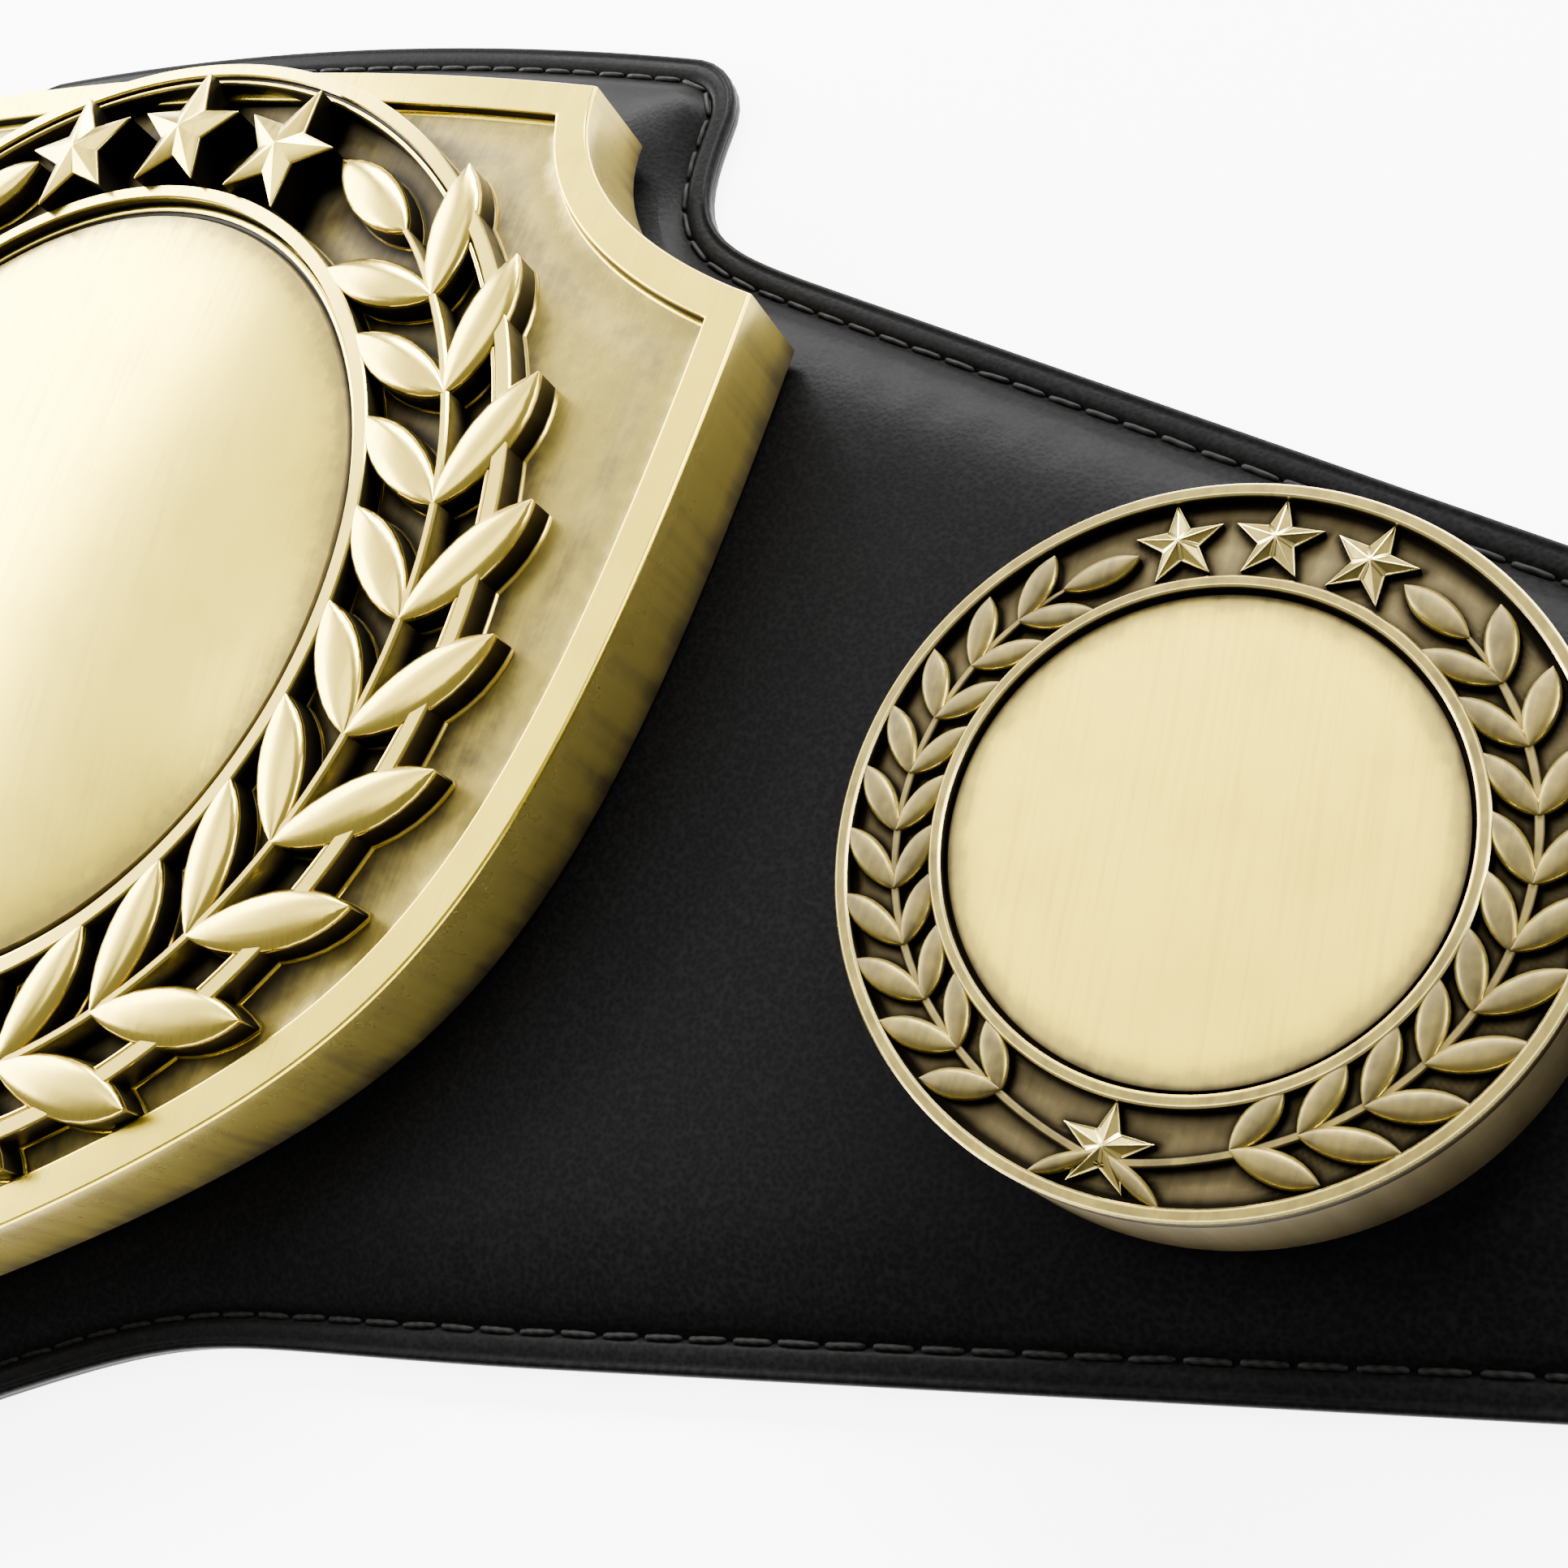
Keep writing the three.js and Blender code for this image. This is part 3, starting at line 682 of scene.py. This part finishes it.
# One row for each pair of leaves, from the top down: where it leaves the stem, how far round
# the outer and the inner tip lean, all in degrees, and the outer tip's share of leaf_reach.
LEAF_PAIRS = (
    (38.2, 11.8, 14.2, 0.97), (25.6, 11.4, 13.9, 0.98), (13.2, 10.9, 13.4, 0.99),
    (1.2, 11.1, 13.2, 1.0), (-10.6, 11.6, 13.0, 1.0), (-22.3, 12.2, 13.0, 1.005),
    (-33.8, 12.2, 13.3, 1.01), (-45.6, 12.4, 13.2, 1.0), (-57.2, 12.6, 13.0, 0.995),
    (-68.6, 12.0, 11.5, 0.985))
CROWN_LEAF = (48.6, 15.6)
STEM_SWING = (-52, -90, 0.3)
STEM_LAP = 3
INNER_LEAF_SHARE = 0.92
LEAF_FOOT = 0.045
STEM_TIP_WIDTH = 0.45
STEM_TIP_POINTS = 8
STAR_WAIST = 0.42
TAIL_SLANT = 30


def polar(radius, degrees):
    return np.array([radius * math.cos(math.radians(degrees)),
                     radius * math.sin(math.radians(degrees))])


def add_turned(shell, centre, profile, sides, ring=False):
    """A turned form: profile holds its section's corners, as radius, height and tone."""
    turn = np.radians(np.linspace(0, 360, sides, endpoint=False))
    circle = np.c_[np.cos(turn), np.sin(turn)]
    shell.loft([level(centre + circle * radius, height) for radius, height, _ in profile],
               ring=ring, tones=[tone for _, _, tone in profile])


# Along a leaf: its half width as a share of the widest.
LEAF_FORM = ((0.0, 0.05), (0.03, 0.2), (0.08, 0.38), (0.16, 0.6), (0.27, 0.81), (0.4, 0.95),
             (0.53, 1.0), (0.65, 0.95), (0.76, 0.81), (0.86, 0.58), (0.93, 0.35), (0.975, 0.16),
             (1.0, 0.04))
# Across a leaf, from its middle to its edge: distance, and height above the edge, as shares.
LEAF_CROWN = ((0.0, 1.0), (0.3, 0.97), (0.58, 0.85), (0.8, 0.58), (0.93, 0.26))


def add_leaf(shell, root, tip, width, w):
    """A pillowed leaf on upright walls, with a small foot where it meets the ground."""
    ground, edge, rise = w["ground"], w["leaf_edge"], w["leaf_rise"]
    along = tip - root
    across = np.array([-along[1], along[0]]) / np.linalg.norm(along)
    foot = LEAF_FOOT * width
    rows = []
    # The walls are painted dark, darkest low down: toning and painted shade.
    half_tones = [w["foot_tone"], w["foot_tone"], 1.0, 0.85, w["edge_tone"]]
    half_tones += [w["crown_tone"] * min(1, 1.3 * height) for _, height in LEAF_CROWN[::-1]]
    for t, fullness in LEAF_FORM:
        middle = root + along * t
        half_width = fullness * width / 2
        lift = min(1.0, 0.35 + 0.65 * fullness)
        section = [(half_width + foot, ground), (half_width + foot * 0.6, ground + foot)]
        section += [(half_width, ground + 1.5 * foot), (half_width, edge - 0.06 * width),
                    (half_width, edge - 0.02 * width)]
        section += [(share * half_width, edge + rise * lift * height)
                    for share, height in LEAF_CROWN[::-1]]
        left = [(-side, height) for side, height in section[:-1]][::-1]
        rows.append([(middle[0] + across[0] * side, middle[1] + across[1] * side, height)
                     for side, height in section + left])
    tones = half_tones + half_tones[:-1][::-1]
    rows = np.array(rows)
    shell.loft(list(rows), tones=[tones] * len(rows))
    shell.feet.append(np.vstack([rows[:, 2, :2], rows[::-1, -3, :2]]))


def add_stem(shell, line, widths, ground, top, tone):
    """A ribbon along a line, with rounded shoulders."""
    along = np.gradient(line, axis=0)
    along = along / np.linalg.norm(along, axis=1)[:, None]
    across = np.c_[-along[:, 1], along[:, 0]]
    loops = []
    for spot, side, width in zip(line, across, widths):
        w = width / 2
        section = ((-w, ground - 0.1), (-w, top - 0.4 * w), (-0.55 * w, top), (0.55 * w, top),
                   (w, top - 0.4 * w), (w, ground - 0.1))
        loops.append(np.array([(spot[0] + side[0] * x, spot[1] + side[1] * x, z)
                               for x, z in section]))
    # The stem's sides are painted dark down to the ground: toning and painted shade.
    edge = 0.3 + tone
    shell.loft(loops, tones=[(1.0, edge, tone, tone, edge, 1.0)] * len(loops))
    shell.feet.append(np.vstack([np.array(loops)[:, 0, :2], np.array(loops)[::-1, -1, :2]]))


def add_star(shell, centre, turn, w):
    """A five-pointed star on upright walls, its ten facets meeting in softened ridges."""
    radius, ground, wall = w["star_radius"], w["ground"], w["star_wall"]
    made = bmesh.new()
    corners = [polar(radius if i % 2 == 0 else STAR_WAIST * radius, turn + 36 * i) + centre
               for i in range(10)]
    base = [made.verts.new((*corner, ground - 0.1)) for corner in corners]
    high = [made.verts.new((*corner, wall - 0.04 * radius)) for corner in corners]
    edge = [made.verts.new((*corner, wall)) for corner in corners]
    top = made.verts.new((*centre, w["star_peak"]))
    for i in range(10):
        j = (i + 1) % 10
        made.faces.new((base[i], base[j], high[j], high[i]))
        made.faces.new((high[i], high[j], edge[j], edge[i]))
        made.faces.new((edge[i], edge[j], top))
    made.faces.new(base[::-1])
    ridges = [e for e in made.edges if all(v in edge or v is top for v in e.verts)]
    bmesh.ops.bevel(made, geom=ridges, offset=w["star_soft"], segments=2, profile=0.5,
                    affect="EDGES")
    made.normal_update()
    facets = sorted((f for f in made.faces if f.normal.z > 0.5),
                    key=lambda f: f.calc_area())[-10:] if w["facet_dip"] else []
    bmesh.ops.inset_individual(made, faces=facets, thickness=0.05 * radius,
                               depth=-w["facet_dip"])
    dipped = {v for f in facets for v in f.verts}
    made.verts.index_update()
    # The walls are painted black below their top edge: toning and painted shade.
    shell.add([tuple(v.co) for v in made.verts], [[v.index for v in f.verts] for f in made.faces],
              [w["facet_tone"] if v in dipped else float(v.co.z < wall - 0.03 * radius)
               for v in made.verts])
    shell.feet.append(np.array(corners))
    made.free()


def stem_line(w, steps=60):
    start, crossing, share = STEM_SWING
    outward = share * (w["rim_outer"] - w["stem_radius"])
    turns = np.linspace(CROWN_LEAF[0] + STEM_LAP, crossing - STEM_LAP, steps)
    swung = np.clip((start - turns) / (start - crossing), 0, 1)
    return np.array([polar(w["stem_radius"] + outward * s * s, t) for t, s in zip(turns, swung)])


def add_wreath(shell, w, centre):
    centre = np.array(centre, float)
    mirror = np.array([-1, 1])
    ground, bite = w["ground"], w["chamfer"]

    def band(outer, width, ledge=()):
        inner, top = outer - width, w["ring_top"]
        # The walls are painted dark, darkest low down: toning and painted shade.
        return ((outer + w["foot"], ground, w["foot_tone"]),
                (outer + 0.6 * w["foot"], ground + w["foot"], w["foot_tone"]),
                (outer, ground + 1.5 * w["foot"], 1.0), (outer, top - 2.5 * bite, 0.8),
                (outer, top - bite, 0.1), (outer - bite, top, 0.0),
                (outer - 2 * bite, top, w["band_tone"]), (inner + 2 * bite, top, w["band_tone"]),
                (inner + bite, top, 0.0), (inner, top - bite, 0.1),
                (inner, top - 2.5 * bite, 0.85), *ledge,
                (inner, ground - 0.1, 1.0))

    add_turned(shell, centre, band(w["ring_outer"], w["ring_width"]), w["sides"], True)
    inner = w["rim_outer"] - w["rim_width"]
    ledge = [(inner - out, height, tone) for out, height, tone in w["ledge"]]
    add_turned(shell, centre, band(w["rim_outer"], w["rim_width"], ledge), w["sides"], True)

    line = stem_line(w)
    widths = np.full(len(line), float(w["stem_width"]))
    widths[:STEM_TIP_POINTS] *= np.linspace(STEM_TIP_WIDTH, 1, STEM_TIP_POINTS)
    leaves = [(polar(w["stem_radius"], CROWN_LEAF[0]),
               polar(w["stem_radius"], sum(CROWN_LEAF)), 1.0)]
    for turn, outer, inner_lean, reach in LEAF_PAIRS:
        root = polar(w["stem_radius"], turn)
        leaves.append((root, polar(reach * w["leaf_reach"], turn + outer), 1.0))
        leaves.append((root, polar(w["ring_outer"] - 0.1 * w["ring_width"], turn + inner_lean),
                       INNER_LEAF_SHARE))
    crossing = line[-1]
    tail_start = crossing + polar(0.25 * w["tail_length"], TAIL_SLANT)
    tail_end = crossing - polar(w["tail_length"], TAIL_SLANT)
    for side in (np.array([1, 1]), mirror):
        add_stem(shell, centre + line * side, widths, ground, w["stem_top"], w["stem_tone"])
        for root, tip, share in leaves:
            add_leaf(shell, centre + root * side, centre + tip * side, share * w["leaf_width"], w)
        add_leaf(shell, centre + tail_start * side, centre + tail_end * side, w["tail_width"], w)
    for turn in (90 - w["star_spacing"], 90, 90 + w["star_spacing"]):
        add_star(shell, centre + polar(w["star_circle"], turn), turn, w)
    add_star(shell, centre + polar(w["star_circle"], -90), 90, w)


wreath = Shell()
add_wreath(wreath, WREATH, (0, 0))
wreath_gold = gold("wreath_gold", (0.80, 0.61, 0.10), 0.21, 0, 0.0012)
main_wreath = make_piece("laurel_wreath", wreath, wreath_gold, 34)
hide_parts("main_wreath")

# Floor of the wreath. A thin plate shows between the branches, ring and rim; it is toned
# black with painted shade beside every raised form, and lighter in the open places.
FLOOR_OUTER = 94.8
FLOOR_INNER = 70.2
FLOOR_BOTTOM = 20.9
FLOOR_TOP = 21.05
FLOOR_SIDES = 640
FLOOR_STEP = 0.9
FLOOR_TONE = 0.55
FLOOR_TONE_AND_SHADE_REACH = 3
BLACKEST_TONE = 1.05
RING_FOOT_OVERLAP = 0.6


def plain_ring(centre, radius, height, tone, sides):
    turn = np.radians(np.linspace(0, 360, sides, endpoint=False))
    return level(centre + radius * np.c_[np.cos(turn), np.sin(turn)], height), np.full(sides, tone)


def toned_and_shaded_rings(centre, outer, inner, height, sides, step, feet, least, reach):
    """Rings of ground between two radii, painted black beside every raised form, with toning and
    painted shade, and lighter, down to the least tone, further off."""
    loops, tones = [], []
    for radius in np.arange(outer - step, inner, -step):
        loop, _ = plain_ring(centre, radius, height, 0.0, sides)
        gap = np.min([distance_in(loop[:, :2], foot) for foot in feet], axis=0)
        from_bands = min(outer - radius, radius - inner) - RING_FOOT_OVERLAP
        gap = np.clip(gap, 0, max(0, from_bands))
        loops.append(loop)
        tones.append(least + (BLACKEST_TONE - least) * np.exp(-gap / reach))
    return loops, tones


wreath_floor = Shell()
floor_loops, floor_tones = toned_and_shaded_rings(
    np.zeros(2), FLOOR_OUTER, FLOOR_INNER, FLOOR_TOP, FLOOR_SIDES, FLOOR_STEP, wreath.feet,
    FLOOR_TONE, FLOOR_TONE_AND_SHADE_REACH)
under = [plain_ring(np.zeros(2), radius, FLOOR_BOTTOM, 1.0, FLOOR_SIDES)
         for radius in (FLOOR_INNER, FLOOR_OUTER)]
wreath_floor.loft(floor_loops + [loop for loop, _ in under], ring=True,
                  tones=floor_tones + [tone for _, tone in under])
floor_gold = gold("wreath_floor_toning", TONED_GOLD, 0.3, 0, 0.002)
make_piece("wreath_floor", wreath_floor, floor_gold, 30)

# Main dome. A spun, brushed disc that rises to its middle, seated inside the ring with a
# narrow flat brim.
DOME_RADIUS = 69.2
DOME_EDGE = 23.7
DOME_RISE = 4.6
DOME_SIDES = 160
# Radius, height and tone of its wall, brim and groove, and the radii of the rings on its dome.
DOME_BRIM = ((68.8, 21.3, 1.0), (69.2, 21.6, 1.0), (69.2, 23.7, 0.9), (69.1, 23.9, 0.3),
             (68.9, 24.0, 0.0), (68.3, 24.0, 0.0), (68.1, 23.9, 0.3), (68.0, 23.5, 1.0),
             (67.6, 23.3, 1.0), (67.3, 23.6, 0.8))
DOME_RINGS = (67.0, 66.0, 64, 60, 54, 46, 38, 30, 22, 14, 7, 1.5)
DOME_EDGE_SHADOW = 0.5
dome = Shell()
sphere = (DOME_RADIUS ** 2 + DOME_RISE ** 2) / (2 * DOME_RISE)
dome_rows = list(DOME_BRIM)
for out in DOME_RINGS:
    rise = math.sqrt(sphere ** 2 - out ** 2) - (sphere - DOME_RISE)
    # Painted shadow of the ring: the tone rises towards the dome's edge.
    tone = DOME_EDGE_SHADOW * math.exp((out - DOME_RINGS[0]) / TONE_FADE)
    dome_rows.append((out, DOME_EDGE + rise, tone))
add_turned(dome, (0, 0), dome_rows, DOME_SIDES)
dome_gold = gold("dome_gold", (0.88, 0.68, 0.07), 0.21, 8, 0.0016)
main_dome = make_piece("dome", dome, dome_gold, 40)
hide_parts("main_dome")

# Side medallions. Thick round brass castings with a low laurel wreath between rim and ring,
# bolted through the strap; black toning with painted shade lies round every leaf, and the edges
# are rubbed bright.
MEDALLION_X = 201
MEDALLION_Y = -7.3
MEDALLION_WREATH = {
    "ground": 22.8, "ring_outer": 29.8, "ring_width": 1.4, "rim_outer": 41.2, "rim_width": 1.5,
    "ring_top": 24.8, "stem_radius": 34.1, "stem_width": 0.95, "stem_top": 24.2,
    "leaf_reach": 39.9, "leaf_width": 3.5, "leaf_edge": 24.2, "leaf_rise": 0.75,
    "star_circle": 34.7, "star_radius": 5.2, "star_spacing": 18, "star_wall": 23.9,
    "star_peak": 25.0, "tail_length": 6, "tail_width": 1.9, "chamfer": 0.2,
    "star_soft": 0.09, "facet_dip": 0.12, "foot": 0.02, "foot_tone": 1.0, "edge_tone": 0.45,
    "stem_tone": 0.62, "crown_tone": 0.66, "band_tone": 0.56, "facet_tone": 0.55,
    "ledge": (), "sides": 160,
}
# Section of the body: radius, height and tone. Toning and painted shade lie on its ground beside
# every form.
MEDALLION_BODY = ((40.6, 7.6, 1.0), (41.0, 7.7, 0.9), (41.2, 8.0, 0.8), (41.2, 22.7, 0.74),
                  (41.1, 22.8, 0.9), (39.8, 22.8, 1.0))
MEDALLION_FLOOR = ((29.2, 22.8, 1.0), (1.0, 22.8, 1.0))
GROUND_STEP = 0.5
GROUND_SIDES = 440
GROUND_TONE = 0.63
GROUND_TONE_AND_SHADE_REACH = 1.0
# Radius, height and tone of the disc face; the tone fading in from its edge is painted shade from
# the ring.
DISC_SECTION = ((27.6, 23.1, 1.0), (27.9, 23.2, 1.0), (27.9, 23.6, 1.0), (27.8, 23.75, 0.8),
                (27.6, 23.8, 0.7), (27.1, 23.8, 0.5), (26.3, 23.8, 0.3), (25.0, 23.8, 0.12),
                (23.0, 23.8, 0.0), (10.0, 23.8, 0.0), (1.0, 23.8, 0.0))
DISC_SIDES = 160


def add_medallion_body(shell, centre):
    loops, tones = toned_and_shaded_rings(centre, MEDALLION_BODY[-1][0], MEDALLION_FLOOR[0][0],
                               MEDALLION_BODY[-1][1], GROUND_SIDES, GROUND_STEP, shell.feet,
                               GROUND_TONE, GROUND_TONE_AND_SHADE_REACH)
    first = [plain_ring(centre, *row, GROUND_SIDES) for row in MEDALLION_BODY]
    last = [plain_ring(centre, *row, GROUND_SIDES) for row in MEDALLION_FLOOR]
    shell.loft([loop for loop, _ in first] + loops + [loop for loop, _ in last],
               tones=[tone for _, tone in first] + tones + [tone for _, tone in last])


medallion_gold = gold("medallion_gold", (0.86, 0.70, 0.24), 0.24, 0, 0.0012)
disc_gold = gold("disc_gold", (0.88, 0.66, 0.05), 0.42, 6)
for side, centre_x in (("left", -MEDALLION_X), ("right", MEDALLION_X)):
    centre = np.array([centre_x, MEDALLION_Y])
    medallion = Shell()
    add_wreath(medallion, MEDALLION_WREATH, centre)
    add_medallion_body(medallion, centre)
    body = make_piece(side + "_medallion_body", medallion, medallion_gold, 34)
    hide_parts(side + "_medallion")
    disc = Shell()
    add_turned(disc, centre, DISC_SECTION, DISC_SIDES)
    face = make_piece(side + "_disc_face", disc, disc_gold, 40)
    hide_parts(side + "_medallion_disc")

# Snap fasteners. Pressed brass studs across one end of the strap and domed caps across the
# other, each with a rolled edge.
SNAP_X = 602
SNAP_PITCH = 20
SNAPS_AT_EACH_END = 3
SNAP_SIDES = 48
STUD_PROFILE = ((5.6, 7.6, 0.9), (6.0, 7.7, 0.6), (6.2, 8.0, 0.2), (6.1, 8.35, 0.0),
                (5.6, 8.5, 0.0), (3.6, 8.5, 0.1), (2.6, 8.5, 0.8), (2.1, 8.8, 0.9),
                (2.0, 9.6, 0.6), (2.3, 10.2, 0.3), (2.7, 10.8, 0.0), (2.6, 11.3, 0.0),
                (2.1, 11.7, 0.0), (1.2, 11.8, 0.0), (0.3, 11.8, 0.0))
CAP_PROFILE = ((5.7, 7.6, 0.9), (6.1, 7.7, 0.6), (6.2, 7.95, 0.2), (6.0, 8.25, 0.0),
               (5.5, 8.6, 0.0), (4.7, 9.0, 0.0), (3.4, 9.35, 0.0), (1.8, 9.55, 0.0),
               (0.3, 9.6, 0.0))
brass = gold("snap_brass", (0.62, 0.47, 0.08), 0.28)
for kind, x, profile in (("left_snap_stud", -SNAP_X, STUD_PROFILE),
                         ("right_snap_cap", SNAP_X, CAP_PROFILE)):
    for i in range(SNAPS_AT_EACH_END):
        middle = np.array([x, STRAP_AXIS + SNAP_PITCH * (i - 1)])
        snap = Shell()
        add_turned(snap, middle, profile, SNAP_SIDES)
        pressed = make_piece(f"{kind}_{i + 1}_pressed", snap, brass, 40)
        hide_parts(f"{kind}_{i + 1}")
